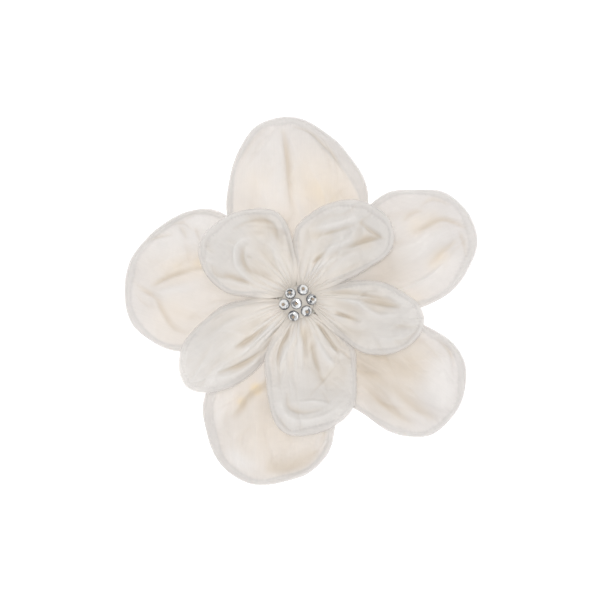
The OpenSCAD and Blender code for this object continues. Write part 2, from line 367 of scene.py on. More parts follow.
def makeSilk(name, look):
    material, tree = newMaterial(name)
    cloth = readVector(tree, "cloth")
    cloudy = noiseNode(tree, objectPlace(tree), yarn["cloudScale"], 2)
    slubs = noiseNode(tree, scaleVector(tree, cloth, yarn["slubStretch"]), 1.0, 5, 0.6)
    weave = weavePattern(tree, cloth, look["weavePitch"])
    # the silk's colour, laid one over another: painted warm light, painted light at the neck, the amber of
    # the strongest painted warm light, painted highlight on ridges, the seam band, and painted shade
    colour = mixColour(tree, readValue(tree, "glow"), look["plain"], look["glow"])
    for tint in ("neck", "amberGlow", "paintedHighlight", "band", "paintedShade"):
        colour = mixColour(tree, readValue(tree, tint), colour, look[tint])
    shade = mathNode(tree, "MULTIPLY_ADD", cloudy, yarn["cloudShade"], yarn["darkest"])
    threads = mathNode(tree, "MULTIPLY_ADD", slubs, yarn["slubShade"], yarn["threadBase"])
    threads = mathNode(tree, "MULTIPLY_ADD", weave, yarn["weaveShade"], threads)
    shade = mathNode(tree, "MULTIPLY", shade, threads)
    grey = addNode(tree, "ShaderNodeCombineXYZ", X=shade, Y=shade, Z=shade).outputs[0]
    colour = mixColour(tree, 1.0, colour, grey, "MULTIPLY")
    rough = mathNode(tree, "MULTIPLY_ADD", slubs, yarn["slubRough"], yarn["rough"])
    height = mathNode(tree, "MULTIPLY_ADD", slubs, yarn["slubHeight"], weave)
    normal = bumpNode(tree, height, yarn["bump"], yarn["bumpDepth"])
    skin = skinNode(tree, colour, rough, silkGloss, Normal=normal)
    through = addNode(tree, "ShaderNodeBsdfTranslucent", Color=colour, Normal=normal)
    both = addNode(tree, "ShaderNodeMixShader", i0=look["through"], i1=skin, i2=through.outputs[0])
    clear = addNode(tree, "ShaderNodeBsdfTransparent")
    thinner = mathNode(tree, "MULTIPLY_ADD", readValue(tree, "band"), look["rimSheer"], look["sheer"])
    thinner = mathNode(tree, "MULTIPLY_ADD", readValue(tree, "fray"), look["edgeSheer"], thinner)
    sheer = addNode(tree, "ShaderNodeMixShader", i0=thinner, i1=both.outputs[0], i2=clear.outputs[0])
    finish(tree, sheer.outputs[0])
    return material


# petals

# baseGlow: painted warm light at the neck; neckGlow: how far the painted light at the neck reaches;
# neckShade: painted shade at the neck
outerRing = {"reach": 67.5, "neckRadius": 7, "neckHalf": 2.6, "neckHeight": 11.7, "rise": 8, "arch": 1.6,
             "pleats": 9, "pleatDepth": 0.45, "edge": 0.7, "puff": 1.7, "taper": 1.1, "band": 2.0,
             "ruffle": 0.8, "crinkles": 34, "drape": 0.7, "foldScale": 1.15, "edgeLine": 0.35,
             "baseGlow": 0.25, "neckGlow": 0.6, "neckShade": 0.7}
innerRing = {"reach": 50, "neckRadius": 4, "neckHalf": 1.7, "neckHeight": 13.6, "rise": 13, "arch": 1.2,
             "pleats": 10, "pleatDepth": 0.5, "edge": 0.7, "puff": 1.7, "taper": 1.6, "band": 1.8,
             "ruffle": 0.6, "crinkles": 26, "drape": 0.9, "foldScale": 1.25, "edgeLine": 0.0,
             "baseGlow": 0.9, "neckGlow": 0.42, "neckShade": 0.15}
petalMesh = {"rows": 150, "columns": 124, "rollStart": 0.12}
# every petal: how strongly the folds show on each skin (shares), and the heights of crumples, seam and
# puckers in millimetres; puckers is how many there are round the seam
pouch = {"frontRelief": 0.75, "backRelief": 0.5, "crumple": 0.10, "fineCrumple": 0.04, "rollHeight": 0.11,
         "grooveDepth": 0.12, "backRoll": 0.1, "backGroove": 0.15, "backWrinkle": 0.25, "leastGap": 0.12,
         "puckers": 62, "puckerHeight": 0.09, "neckSpread": 1.0, "wander": 0.45, "bandSoftness": 0.35}

# folds: (places along and across the petal, width, height)
# a place is (share of length, share of half-width)
# glows: patches of painted warm light, and a glow below zero is a patch of painted warm shade; lights:
# patches of painted highlight; both as (along, across, radius, strength)
# wideBand: (along, across, radius, extra width)
# lift: how much of the painted light at the neck a petal gets
outerPetals = [
    {"direction": 87, "reach": 0.95, "left": (0.375, 0.4, 1.8), "right": (0.37, 0.55, 1.8), "bend": 0.12,
     "roll": 9, "cup": -0.5, "wideBand": (0.78, -0.8, 16, 3.4),
     "folds": [([(0.93, 0.18), (0.8, 0.15), (0.6, 0.12), (0.4, 0.1)], 0.9, -0.8),
               ([(0.9, 0.3), (0.75, 0.28), (0.55, 0.25), (0.4, 0.22)], 2.4, 0.6),
               ([(0.94, -0.1), (0.9, -0.5), (0.8, -0.66), (0.62, -0.76)], 0.5, -0.45)],
     "glows": [(0.6, -0.15, 11, 0.8), (0.5, -0.5, 10, 0.8), (0.58, 0.62, 5, 0.5)]},
    {"direction": 22, "reach": 0.985, "left": (0.32, 0.6, 1.8), "right": (0.29, 0.6, 2.2), "bend": 0.05,
     "roll": 8, "cup": 1, "lift": 0.5, "wideBand": (0.88, -0.3, 12, 1.4),
     "folds": [([(0.63, 0.28), (0.72, 0.26), (0.86, 0.26), (0.96, -0.2)], 0.8, -0.7),
               ([(0.66, -0.4), (0.78, -0.3), (0.87, -0.24)], 0.8, -0.6),
               ([(0.45, -0.6), (0.67, -0.57), (0.88, -0.5)], 1.8, 0.6),
               ([(0.4, -0.6), (0.58, -0.56), (0.76, -0.5)], 0.5, 0.7),
               ([(0.45, 0.0), (0.65, 0.06), (0.85, 0.06)], 3.5, 0.9),
               ([(0.9, -0.05), (0.9, -0.42), (0.88, -0.8)], 0.6, -0.35),
               ([(0.6, 0.48), (0.68, 0.56), (0.76, 0.56)], 0.6, -0.4),
               ([(0.74, 0.62), (0.83, 0.74), (0.92, 0.62)], 0.7, -0.4)],
     "glows": [(0.68, 0.36, 3.5, 1.0), (0.78, 0.33, 3, 0.8), (0.76, -0.33, 3, 1.0), (0.7, -0.42, 3, 0.8),
               (0.48, -0.85, 6, 0.8), (0.42, -0.1, 9, -0.4)]},
    {"direction": -38, "reach": 1, "left": (0.305, 0.7, 1.8), "right": (0.28, 0.5, 3), "bend": 0.03,
     "roll": 9, "cup": 0.5, "lift": 0.35, "wideBand": (0.8, 0.85, 12, 1.2),
     "folds": [([(0.72, 0.66), (0.85, 0.3), (0.88, -0.15)], 5, 1.1),
               ([(0.62, 0.9), (0.75, 0.82), (0.86, 0.62)], 0.7, -0.45),
               ([(0.48, -0.55), (0.67, -0.6), (0.86, -0.7)], 1.5, -0.7),
               ([(0.6, -0.2), (0.8, -0.35), (0.95, -0.4)], 1.5, -0.55),
               ([(0.5, -0.38), (0.7, -0.45), (0.9, -0.55)], 1.8, 0.5)],
     "glows": [(0.42, -0.3, 9, 0.9), (0.62, 0.25, 8, 0.9), (0.75, -0.5, 6, 0.6), (0.42, 0.0, 9, -0.5),
               (0.64, 0.22, 6, -0.35), (0.58, -0.5, 6, -0.3)]},
    {"direction": -90, "reach": 0.955, "left": (0.285, 0.8, 2), "right": (0.45, 0.45, 1.8), "bend": -0.205,
     "roll": 8, "cup": -0.5, "lift": 0.7, "wideBand": (0.6, -0.95, 16, 2),
     "folds": [([(0.34, -0.28), (0.47, -0.48), (0.6, -0.66)], 1.1, -1.0),
               ([(0.4, -0.65), (0.55, -0.8), (0.68, -0.85)], 2.4, 0.6),
               ([(0.9, -0.1), (0.9, 0.4), (0.8, 0.82)], 2.4, -0.7),
               ([(0.78, -0.8), (0.86, -0.5), (0.9, -0.2)], 2.6, 0.6)],
     "glows": [(0.42, -0.42, 3.0, 1.6), (0.5, -0.56, 2.6, 1.2), (0.72, -0.1, 17, 0.7),
               (0.6, -0.1, 9, -0.25)]},
    {"direction": 160, "reach": 0.89, "left": (0.43, 0.5, 2), "right": (0.34, 0.65, 1.8), "bend": 0.13,
     "roll": 8, "cup": 0, "wideBand": (0.9, 0.5, 10, 0.6),
     "folds": [([(0.82, 0.33), (0.7, 0.1), (0.5, -0.08)], 0.8, -0.9),
               ([(0.8, 0.46), (0.65, 0.26), (0.48, 0.1)], 1.8, 0.7),
               ([(0.92, 0.5), (0.78, 0.45), (0.68, 0.6), (0.58, 0.74), (0.46, 0.78)], 0.8, -0.6),
               ([(0.96, -0.85), (0.9, -0.68), (0.8, -0.6)], 0.7, -0.45),
               ([(0.79, -0.76), (0.71, -0.48)], 0.7, -0.4),
               ([(0.69, -0.7), (0.6, -0.42)], 0.7, -0.4)],
     "glows": [(0.75, -0.1, 9, 0.7), (0.56, -0.14, 4, 1.1), (0.68, 0.0, 4, 0.5), (0.6, 0.6, 8, 0.6)],
     "lights": [(0.66, -0.72, 9, 1.1), (0.86, -0.5, 7, 0.8)]},
]
innerPetals = [
    {"direction": 135, "reach": 0.795, "left": (0.31, 0.55, 1.8), "right": (0.365, 0.65, 1.8), "bend": 0.1,
     "roll": -5, "cup": 3, "wideBand": (0.9, 0.4, 8, 0.8),
     "folds": [([(0.12, 0.62), (0.39, 0.47), (0.55, 0.36), (0.66, 0.14), (0.69, -0.1), (0.62, -0.32)],
                0.9, 0.8),
               ([(0.2, 0.4), (0.4, 0.3), (0.53, 0.18), (0.6, 0.0), (0.62, -0.16)], 0.8, -0.6),
               ([(0.58, 0.68), (0.42, 0.56), (0.22, 0.5)], 0.7, -0.6),
               ([(0.6, 0.82), (0.39, 0.66), (0.15, 0.72)], 0.7, 0.4),
               ([(0.54, 0.06), (0.49, 0.04)], 0.35, -0.5),
               ([(0.42, -0.62), (0.6, -0.78), (0.76, -0.62), (0.84, -0.2)], 0.7, -0.5)],
     "glows": [(0.42, -0.1, 5, 0.6), (0.65, -0.55, 4, 0.8)]},
    {"direction": 64, "reach": 0.825, "left": (0.27, 0.55, 1.8), "right": (0.36, 0.65, 1.8), "bend": -0.14,
     "roll": -6, "cup": 2, "wideBand": (0.85, -0.2, 8, 1.2),
     "folds": [([(0.5, 0.7), (0.68, 0.3), (0.83, -0.05)], 1.1, 0.7),
               ([(0.46, 0.5), (0.6, 0.2), (0.76, -0.1)], 0.8, -0.7),
               ([(0.8, -0.15), (0.76, -0.45), (0.74, -0.8)], 0.6, -0.6),
               ([(0.24, 0.2), (0.33, 0.09), (0.43, 0.0)], 0.7, -1.0),
               ([(0.5, -0.25), (0.66, -0.48), (0.75, -0.7)], 0.9, -0.9),
               ([(0.22, 0.32), (0.36, 0.12), (0.53, -0.12), (0.64, -0.25)], 1.0, 0.6),
               ([(0.1, 0.3), (0.31, -0.15), (0.5, -0.5)], 0.9, 0.5)],
     "glows": [(0.66, -0.46, 3, 1.0), (0.5, 0.5, 3, 0.7), (0.33, 0.1, 1.6, 0.8)]},
    {"direction": 2, "reach": 0.865, "left": (0.17, 0.65, 1.8), "right": (0.355, 0.5, 1.8), "bend": -0.155,
     "roll": -7, "cup": 1, "wideBand": (0.9, 0.0, 6, 0.6),
     "folds": [([(0.12, 0.5), (0.37, 0.42), (0.57, 0.3), (0.74, 0.32)], 0.7, -0.7),
               ([(0.23, 0.0), (0.39, 0.05), (0.49, -0.1), (0.6, -0.2), (0.76, -0.12)], 1.0, 0.7),
               ([(0.2, -0.4), (0.3, -0.36), (0.45, -0.4)], 0.6, -1.0),
               ([(0.45, 0.1), (0.6, 0.06), (0.78, 0.12)], 0.8, -0.6),
               ([(0.3, 0.75), (0.55, 0.65), (0.8, 0.55)], 1.1, 0.4)],
     "glows": [(0.34, -0.38, 2, 0.9), (0.6, 0.1, 4, 0.6), (0.3, 0.45, 2.5, 0.7)]},
    {"direction": -82, "reach": 0.935, "left": (0.36, 0.45, 3), "right": (0.295, 0.4, 2.6), "bend": -0.07,
     "roll": -8, "cup": 1, "wideBand": (0.85, 0.2, 9, 1.0),
     "folds": [([(0.1, -0.52), (0.26, -0.63), (0.5, -0.66)], 0.6, -0.9),
               ([(0.1, 0.1), (0.25, 0.0), (0.5, -0.05)], 0.7, -0.55),
               ([(0.1, 0.6), (0.25, 0.58), (0.42, 0.68)], 0.55, -0.95),
               ([(0.25, 0.14), (0.4, 0.17), (0.6, 0.3)], 0.6, -0.5),
               ([(0.08, -0.2), (0.3, -0.2), (0.55, -0.25)], 0.8, 0.5),
               ([(0.15, -0.3), (0.27, -0.4), (0.4, -0.58), (0.5, -0.7)], 0.9, 0.7),
               ([(0.2, 0.28), (0.38, 0.41), (0.5, 0.58)], 0.9, 0.7),
               ([(0.58, -0.62), (0.72, -0.68), (0.82, -0.55), (0.87, -0.2), (0.87, 0.4), (0.8, 0.72)],
                1.0, 0.55),
               ([(0.6, -0.5), (0.74, -0.52), (0.81, -0.15), (0.81, 0.35)], 0.8, -0.45),
               ([(0.72, -0.25), (0.73, 0.13), (0.8, 0.5)], 0.6, 0.5)],
     "glows": [(0.2, 0.0, 4, 0.7), (0.55, 0.5, 4, 0.5), (0.4, -0.45, 3, 0.4)]},
    {"direction": 213, "reach": 0.995, "left": (0.245, 0.55, 1.8), "right": (0.275, 0.5, 2.2), "bend": 0.06,
     "roll": -6, "cup": -1.5, "wideBand": (0.95, 0.4, 7, 0.5),
     "folds": [([(0.2, 0.14), (0.37, 0.1), (0.52, 0.03)], 0.8, -1.0),
               ([(0.14, 0.5), (0.28, 0.33), (0.4, 0.3), (0.54, 0.34)], 0.9, 0.7),
               ([(0.36, 0.68), (0.5, 0.6), (0.62, 0.52), (0.73, 0.42)], 0.7, -0.8),
               ([(0.85, 0.35), (0.7, 0.66), (0.53, 0.78), (0.38, 0.8)], 0.9, 0.5)],
     "glows": [(0.4, 0.08, 3, 0.7), (0.57, 0.56, 3, 0.6)]},
]


def sideWidth(u, side, ring):
    width, peak, roundness = ring["reach"] * side[0], side[1], side[2]
    rising = ring["neckHalf"] + (width - ring["neckHalf"]) * np.sin(math.pi / 2 * np.clip(u / peak, 0, 1))
    past = np.clip((u - peak) / (1 - peak), 0, 1)
    return np.where(u < peak, rising, width * (1 - past ** roundness) ** (1 / roundness))


def petalPlan(u, q, petal, ring):
    # place on the flat pattern, in millimetres, +X from neck to tip
    half = np.where(q > 0, sideWidth(u, petal["left"], ring), sideWidth(u, petal["right"], ring))
    x = ring["neckRadius"] + (ring["reach"] * petal["reach"] - ring["neckRadius"]) * u
    y = q * half + ring["reach"] * petal["bend"] * u ** 2
    return x, y, half


def distanceTo(x, y, line):
    # distance to a line of points, how far along it the nearest point is, and on which side
    best = np.full(x.shape, 1e9)
    share = np.zeros(x.shape)
    side = np.zeros(x.shape)
    for k in range(len(line) - 1):
        a, b = line[k], line[k + 1]
        ab = b - a
        t = np.clip(((x - a[0]) * ab[0] + (y - a[1]) * ab[1]) / (ab @ ab + 1e-12), 0, 1)
        dx, dy = x - a[0] - t * ab[0], y - a[1] - t * ab[1]
        d = np.hypot(dx, dy)
        closer = d < best
        best = np.where(closer, d, best)
        share = np.where(closer, (k + t) / (len(line) - 1), share)
        side = np.where(closer, np.sign(ab[0] * dy - ab[1] * dx), side)
    return best, share, side


def nearLine(places, samples, x, y, petal, ring):
    # the same three answers, for a line drawn on the petal
    at = curveThrough(places, samples)
    lineX, lineY, _ = petalPlan(at[:, 0], at[:, 1], petal, ring)
    return distanceTo(x, y, np.column_stack([lineX, lineY]))


def foldHeights(x, y, petal, ring):
    # every listed fold, ridges up and creases down; one flank is steeper than the other
    total = np.zeros_like(x)
    for places, width, height in petal["folds"]:
        d, share, side = nearLine(places, 26, x, y, petal, ring)
        flank = np.where(side * height > 0, width * 0.75, width * 1.5)
        ends = np.sin(math.pi * np.clip(share, 0, 1)) ** 0.7
        total += height * np.exp(-(d / flank) ** 2) * ends
    return total


def crinkleHeights(x, y, petal, ring, seed):
    # small random creases, mostly running from neck to tip as the silk was pulled in
    rng = np.random.default_rng(seed + 400)
    total = np.zeros_like(x)
    for _ in range(ring["crinkles"]):
        u0, q0 = rng.uniform(0.2, 0.88), rng.uniform(-0.85, 0.85)
        long, lean, bow = rng.uniform(0.06, 0.22), rng.normal(0, 0.35), rng.normal(0, 0.12)
        places = np.array([(u0 - long, q0 - lean / 2), (u0, q0 + bow), (u0 + long, q0 + lean / 2)])
        places[:, 0] = np.clip(places[:, 0], 0.1, 0.97)
        places[:, 1] = np.clip(places[:, 1], -0.95, 0.95)
        d, share, side = nearLine(places, 9, x, y, petal, ring)
        width = rng.uniform(0.4, 0.9)
        height = rng.choice([-1, 1], p=[0.6, 0.4]) * rng.uniform(0.1, 0.32)
        flank = np.where(side > 0, width * 0.6, width * 1.8)
        total += height * np.exp(-(d / flank) ** 2) * np.sin(math.pi * np.clip(share, 0, 1))
    return total


def drapeHeights(x, y, petal, ring, seed):
    # a few broad soft folds that fan out from the neck
    rng = np.random.default_rng(seed + 800)
    total = np.zeros_like(x)
    for k in range(7):
        q0 = -0.78 + 1.56 * (k + rng.uniform(0.2, 0.8)) / 7
        end = rng.uniform(0.5, 0.85)
        places = [(0.06, 0.55 * q0), (0.5 * end, q0 + rng.normal(0, 0.05)),
                  (end, q0 * rng.uniform(0.8, 1.1))]
        d, share, side = nearLine(places, 12, x, y, petal, ring)
        width, height = rng.uniform(1.1, 2.0), (1 if k % 2 else -1) * rng.uniform(0.25, 0.5)
        flank = np.where(side > 0, width * 0.7, width * 1.6)
        total += height * np.exp(-(d / flank) ** 2) * np.sin(math.pi * np.clip(share, 0, 1)) ** 0.8
    return total


def pleatHeights(u, q, half, ring, seed):
    # gathers that spread from the neck, round on top and sharp in the valley
    rng = np.random.default_rng(seed)
    count = ring["pleats"]
    wobble = 0.05 * np.sin(5 * u + 7 * q + seed) + 0.03 * np.sin(11 * u - 4 * q)
    phase = (q + wobble + 1) / 2 * count
    index = np.clip(np.floor(phase), -1, count).astype(int) + 1
    reach = rng.uniform(0.22, 0.62, count + 2)[index]
    depth = rng.uniform(0.5, 1.1, count + 2)[index]
    pitch = 2 * half / count
    size = np.minimum(ring["pleatDepth"], 0.36 * pitch) * depth * (1 - smoothStep(u, 0.3 * reach, reach))
    return size * (2 * np.abs(np.sin(math.pi * phase)) ** 0.7 - 1.2)


def patchSum(patches, x, y, petal, ring):
    # soft round patches: (along, across, radius, strength)
    total = np.zeros_like(x)
    for along, across, radius, strength in patches:
        atX, atY, _ = petalPlan(np.array(along), np.array(across), petal, ring)
        total += strength * np.exp(-((x - atX) ** 2 + (y - atY) ** 2) / radius ** 2)
    return total


def sewPouch(name, front, back):
    # one closed mesh from two skins of points, which share the points of the sewn edge
    rows, columns = front.shape[0] - 1, front.shape[1] - 1
    frontIndex = np.zeros((rows + 1, columns + 1), int)
    backIndex = np.zeros((rows + 1, columns + 1), int)
    points, source, faces = [], [], []
    for skin, index in ((front, frontIndex), (back, backIndex)):
        for i in range(rows + 1):
            for j in range(columns + 1):
                if index is backIndex and (i == rows or j in (0, columns)):
                    index[i, j] = frontIndex[i, j]
                elif i == rows and j > 0:
                    index[i, j] = index[i, 0]
                else:
                    index[i, j] = len(points)
                    points.append(skin[i, j])
                    source.append((i, j))
    for i in range(rows):
        for j in range(columns):
            a, b, c, d = (i, j), (i, j + 1), (i + 1, j + 1), (i + 1, j)
            if i == rows - 1:
                faces.append((frontIndex[d], frontIndex[b], frontIndex[a]))
                faces.append((backIndex[a], backIndex[b], backIndex[d]))
            else:
                faces.append((frontIndex[d], frontIndex[c], frontIndex[b], frontIndex[a]))
                faces.append((backIndex[a], backIndex[b], backIndex[c], backIndex[d]))
    for j in range(columns):
        neckFace = (frontIndex[0, j], frontIndex[0, j + 1], backIndex[0, j + 1], backIndex[0, j])
        faces.append(tuple(dict.fromkeys(neckFace)))
    piece = makeMesh(name, points, faces)
    onRim = np.zeros(len(points), bool)
    onRim[np.concatenate([frontIndex[:, 0], frontIndex[:, -1]])] = True
    ends = np.zeros(2 * len(piece.data.edges), int)
    piece.data.edges.foreach_get("vertices", ends)
    piece.data.edges.foreach_set("use_edge_sharp", onRim[ends.reshape(-1, 2)].all(1))
    return piece, np.array(source).T


def makePetal(name, petal, ring, seed):
    rows, columns = petalMesh["rows"], petalMesh["columns"]
    u = np.sin(math.pi / 2 * np.arange(rows + 1) / rows)
    t = np.linspace(-1, 1, columns + 1)
    q = 0.5 * t + 0.5 * np.sin(math.pi / 2 * t)
    u, q = np.meshgrid(u, q, indexing="ij")
    x, y, half = petalPlan(u, q, petal, ring)

    # the turned and sewn edge
    s = np.sin(math.pi / 2 * np.linspace(0, 1, 70))
    leftX, leftY, _ = petalPlan(s, np.full_like(s, 1.0), petal, ring)
    rightX, rightY, _ = petalPlan(s, np.full_like(s, -1.0), petal, ring)
    outline = np.column_stack([np.concatenate([leftX, rightX[::-1]]),
                               np.concatenate([leftY, rightY[::-1]])])
    edge, around, _ = distanceTo(x, y, outline)
    along, across, radius, extra = petal["wideBand"]
    bandWidth = (ring["band"] + patchSum([(along, across, radius, extra)], x, y, petal, ring)
                 + 0.25 * np.sin(37 * around + seed))
    fromNeck = smoothStep(u, 0.1, 0.3)
    softness = pouch["bandSoftness"]
    band = (1 - smoothStep(edge, bandWidth - softness, bandWidth + softness)) * fromNeck
    groove = np.exp(-((edge - bandWidth) / 0.5) ** 2) * fromNeck
    roll = np.exp(-((edge - 0.55 * bandWidth) / (0.4 * bandWidth)) ** 2) * fromNeck

    # the middle layer, as the frame's petal has it, then ruffles, folds and gathers
    slope = math.tan(math.radians(petal["roll"])) * np.minimum(1, u / petalMesh["rollStart"]) * q * half
    middle = (ring["rise"] * u ** 1.2 + ring["arch"] * 4 * u * (1 - u) + slope
              + petal["cup"] * q ** 2 * np.sin(math.pi * u ** 0.8))
    calm = smoothStep(u, 0.12, 0.5)
    soften = 1 - np.exp(-(edge / 1.2) ** 2)
    ruffle = ring["ruffle"] * calm * (softWaves(x, y, seed, 26) * 0.8 + softWaves(x, y, seed + 50, 13) * 0.35
                                      + np.sin(55 * around + seed) * 0.35 * np.exp(-edge / 4))
    folds = ring["foldScale"] * foldHeights(x, y, petal, ring)
    pleats = pleatHeights(u, q, half, ring, seed)
    crinkles = (crinkleHeights(x, y, petal, ring, seed)
                + ring["drape"] * drapeHeights(x, y, petal, ring, seed))
    crumple = calm * soften * (pouch["crumple"] * softWaves(x, y, seed + 90, 5)
                               + pouch["fineCrumple"] * softWaves(x, y, seed + 130, 2.2))
    wave = np.sin(2 * math.pi * pouch["puckers"] * around + 3 * np.sin(40 * around))
    pucker = pouch["puckerHeight"] * wave * np.exp(-((edge - bandWidth) / 0.9) ** 2) * fromNeck
    relief = (folds + pleats + crinkles + pucker) * soften
    taper = np.clip(edge / ring["taper"], 0, 1)
    thick = (ring["edge"] + ring["puff"] * (1 - q ** 2) * np.sin(math.pi * u ** 0.6)) * taper
    front = (middle + ruffle + pouch["frontRelief"] * relief + crumple + thick / 2
             + pouch["rollHeight"] * roll - pouch["grooveDepth"] * groove)
    backWrinkles = pouch["backWrinkle"] * softWaves(x, y, seed + 170, 9) * calm * soften
    back = (middle + ruffle + pouch["backRelief"] * relief + backWrinkles - thick / 2
            - pouch["backRoll"] * roll + pouch["backGroove"] * groove)
    back = front - np.maximum(front - back, pouch["leastGap"] * taper)

    # near the neck the gathered silk pushes against its neighbours; the edge isn't cut to a perfect curve
    y = y + pouch["neckSpread"] * q * np.abs(q) * np.exp(-((u - 0.11) / 0.13) ** 2)
    x = x + pouch["wander"] * softWaves(x, y, seed + 210, 21) * calm
    y = y + pouch["wander"] * softWaves(x, y, seed + 240, 17) * calm
    turn = math.radians(petal["direction"])
    worldX = x * math.cos(turn) - y * math.sin(turn)
    worldY = x * math.sin(turn) + y * math.cos(turn)
    skins = [np.stack([worldX, worldY, height + ring["neckHeight"]], -1) for height in (front, back)]
    piece, (rowOf, columnOf) = sewPouch(name, *skins)

    # what the silk's colour goes by: painted warm light, painted shade, painted highlight and painted light
    # at the neck, besides the seam band
    # painted warm light, as light through layered silk would give, strongest at the neck and in the glow
    # patches; the amber colour is painted where it runs strongest
    glow = ring["baseGlow"] * np.exp(-(u / 0.36) ** 2) * (1 - 0.6 * np.abs(q))
    glow += patchSum([patch for patch in petal["glows"] if patch[3] > 0], x, y, petal, ring)
    shade = -patchSum([patch for patch in petal["glows"] if patch[3] < 0], x, y, petal, ring)
    # painted highlight: the lights patches, added to a painted highlight on the raised folds
    light = patchSum(petal.get("lights", []), x, y, petal, ring)
    # painted shade: darker and warmer in the creases of folds, crinkles and pleats, at the neck, and in the
    # glow patches below zero
    paintedShade = 0.75 * np.clip(-(folds + crinkles + 0.5 * pleats) * soften / 0.9, 0, 1) ** 1.2
    values = {"glow": glow, "amberGlow": 1.2 * (glow - 1),
              "paintedShade": paintedShade + ring["neckShade"] * np.clip(1.3 - u / 0.12, 0, 1) + shade,
              "band": 0.65 * band + 0.3 * groove + ring["edgeLine"] * np.exp(-(edge / 0.5) ** 2),
              "fray": np.exp(-(edge / 0.45) ** 2) * fromNeck,
              "neck": 0.9 * petal.get("lift", 1) * np.exp(-(u / ring["neckGlow"]) ** 2),
              "paintedHighlight": np.clip(0.8 * np.clip(relief / 0.8, 0, 1) + light, 0, 1) * (1 - band)}
    for key, value in values.items():
        addPointValues(piece, key, np.clip(value, 0, 1)[rowOf, columnOf])
    addPointVectors(piece, "cloth", np.stack([x, y, np.zeros_like(x)], -1)[rowOf, columnOf])

    # the cut of one layer: a little longer and larger than its plan, for the rise and the folds
    flatLength = (ring["reach"] * petal["reach"] - ring["neckRadius"]) * mm
    flatWidth = float(y.max() - y.min()) * mm
    widths = sideWidth(s, petal["left"], ring) + sideWidth(s, petal["right"], ring)
    area = float(np.trapz(widths, leftX)) * mm * mm
    return piece, (flatWidth, flatLength * 1.03), area * 1.04


def makePetals():
    for kind, designs, ring, look, seed in (("outer", outerPetals, outerRing, outerSilk, 3),
                                            ("inner", innerPetals, innerRing, innerSilk, 7)):
        cloth = makeSilk(f"{kind}Silk", look)
        for k, petal in enumerate(designs):
            node = f"{kind}_petal_{k + 1}"
            piece, flat, area = makePetal(f"{kind}Petal{k + 1}", petal, ring, 11 * k + seed)
            fitPiece(piece, cloth, f"{kind}_silk", node)
            print("petal", node, "flat", [round(v, 4) for v in flat], "area", round(area, 5))


makePetals()
print("petals made")


# padded button, crystals and their threads

# light and dark: the button silk's weave colours, both kept dark as painted shade for the dim space between
# the stones
button = {"place": (-0.5, -1.0), "domeRadius": 12, "top": 17.6, "edgeRadius": 5.6, "foot": 10.6,
          "tucks": 22, "tuckDepth": 0.16, "around": 132, "light": (0.60, 0.56, 0.51),
          "dark": (0.46, 0.42, 0.37), "weavePitch": 0.3, "sheen": 0.3}
# each stone: its place, and its dark reflections as (ring, from angle, to angle, brightness), where ring 0
# is the one round the hole
crystals = [
    {"place": (-2.9, 2.1), "dark": [(1, 20, 160, 0.03), (0, 30, 170, 0.3), (1, 190, 250, 0.2),
                                    (1, 280, 345, 0.2), (0, 180, 350, 0.4), (3, 90, 200, 0.25)]},
    {"place": (1.2, 3.3), "dark": [(2, 110, 215, 0.3), (3, 60, 230, 0.3), (2, 310, 350, 0.5)]},
    {"place": (4.1, 0.1), "dark": [(2, 60, 330, 0.4), (3, 0, 360, 0.4), (1, 20, 80, 0.05), (2, 20, 60, 0.1),
                                   (1, 190, 250, 0.06), (2, 200, 240, 0.15), (0, 100, 180, 0.3)]},
    {"place": (2.4, -3.7), "dark": [(1, -120, 60, 0.06), (2, -110, -50, 0.1), (0, -130, 80, 0.35),
                                    (3, -90, -40, 0.3)]},
    {"place": (-1.8, -5.3), "dark": [(1, 90, 290, 0.16), (0, 60, 300, 0.35), (2, 240, 280, 0.1),
                                     (3, 90, 130, 0.1), (1, -40, 30, 0.5)]},
    {"place": (-4.9, -1.5), "dark": [(3, 185, 320, 0.03), (2, 205, 300, 0.3), (2, 330, 350, 0.4)]},
    {"place": (-0.9, -1.2), "dark": [(1, 60, 250, 0.2), (0, 40, 260, 0.35), (3, -20, 40, 0.25),
                                     (2, 150, 190, 0.4)]},
]
# tones: for each ring of facets, the brightness range of its painted reflections; the last, dark, is painted
# shade round the edge and on the back of each stone, and holeTone is painted shade in the hole
stone = {"facets": 24, "hole": 0.45, "gap": 0.1, "holeTone": 0.25,
         "tones": [(0.3, 0.7), (0.55, 1.0), (0.85, 1.0), (0.85, 1.0), (0.25, 0.8), (0.02, 0.12)],
         "crown": [(0.5, 1.5), (0.85, 1.58), (1.25, 1.54), (1.6, 1.36), (1.88, 1.08), (2.02, 0.8)],
         "back": [(2.02, 0.6), (1.75, 0.3), (1.2, 0.0), (0.5, 0.0)]}
tie = {"postRadius": 0.34, "knotRadius": 0.216, "knotSize": 0.3, "knotHeight": 2.15,
       "light": (0.50, 0.40, 0.30), "dark": (0.26, 0.19, 0.13)}


def makeClothMaterial(name, light, dark, pitch, sheen, bump=0.3):
    material, tree = newMaterial(name)
    place = objectPlace(tree)
    weave = weavePattern(tree, scaleVector(tree, place, (1 / mm, 1 / mm, 1 / mm)), pitch)
    cloud = noiseNode(tree, place, 400, 4)
    colour = mixColour(tree, mathNode(tree, "MULTIPLY", cloud, weave, clamp=True), light, dark)
    rough = mathNode(tree, "MULTIPLY_ADD", cloud, 0.2, 0.6)
    normal = bumpNode(tree, mathNode(tree, "ADD", weave, cloud), bump, 0.0001)
    gloss = {"Sheen Weight": sheen, "Sheen Roughness": 0.4, "Specular IOR Level": 0.25}
    finish(tree, skinNode(tree, colour, rough, gloss, Normal=normal))
    return material


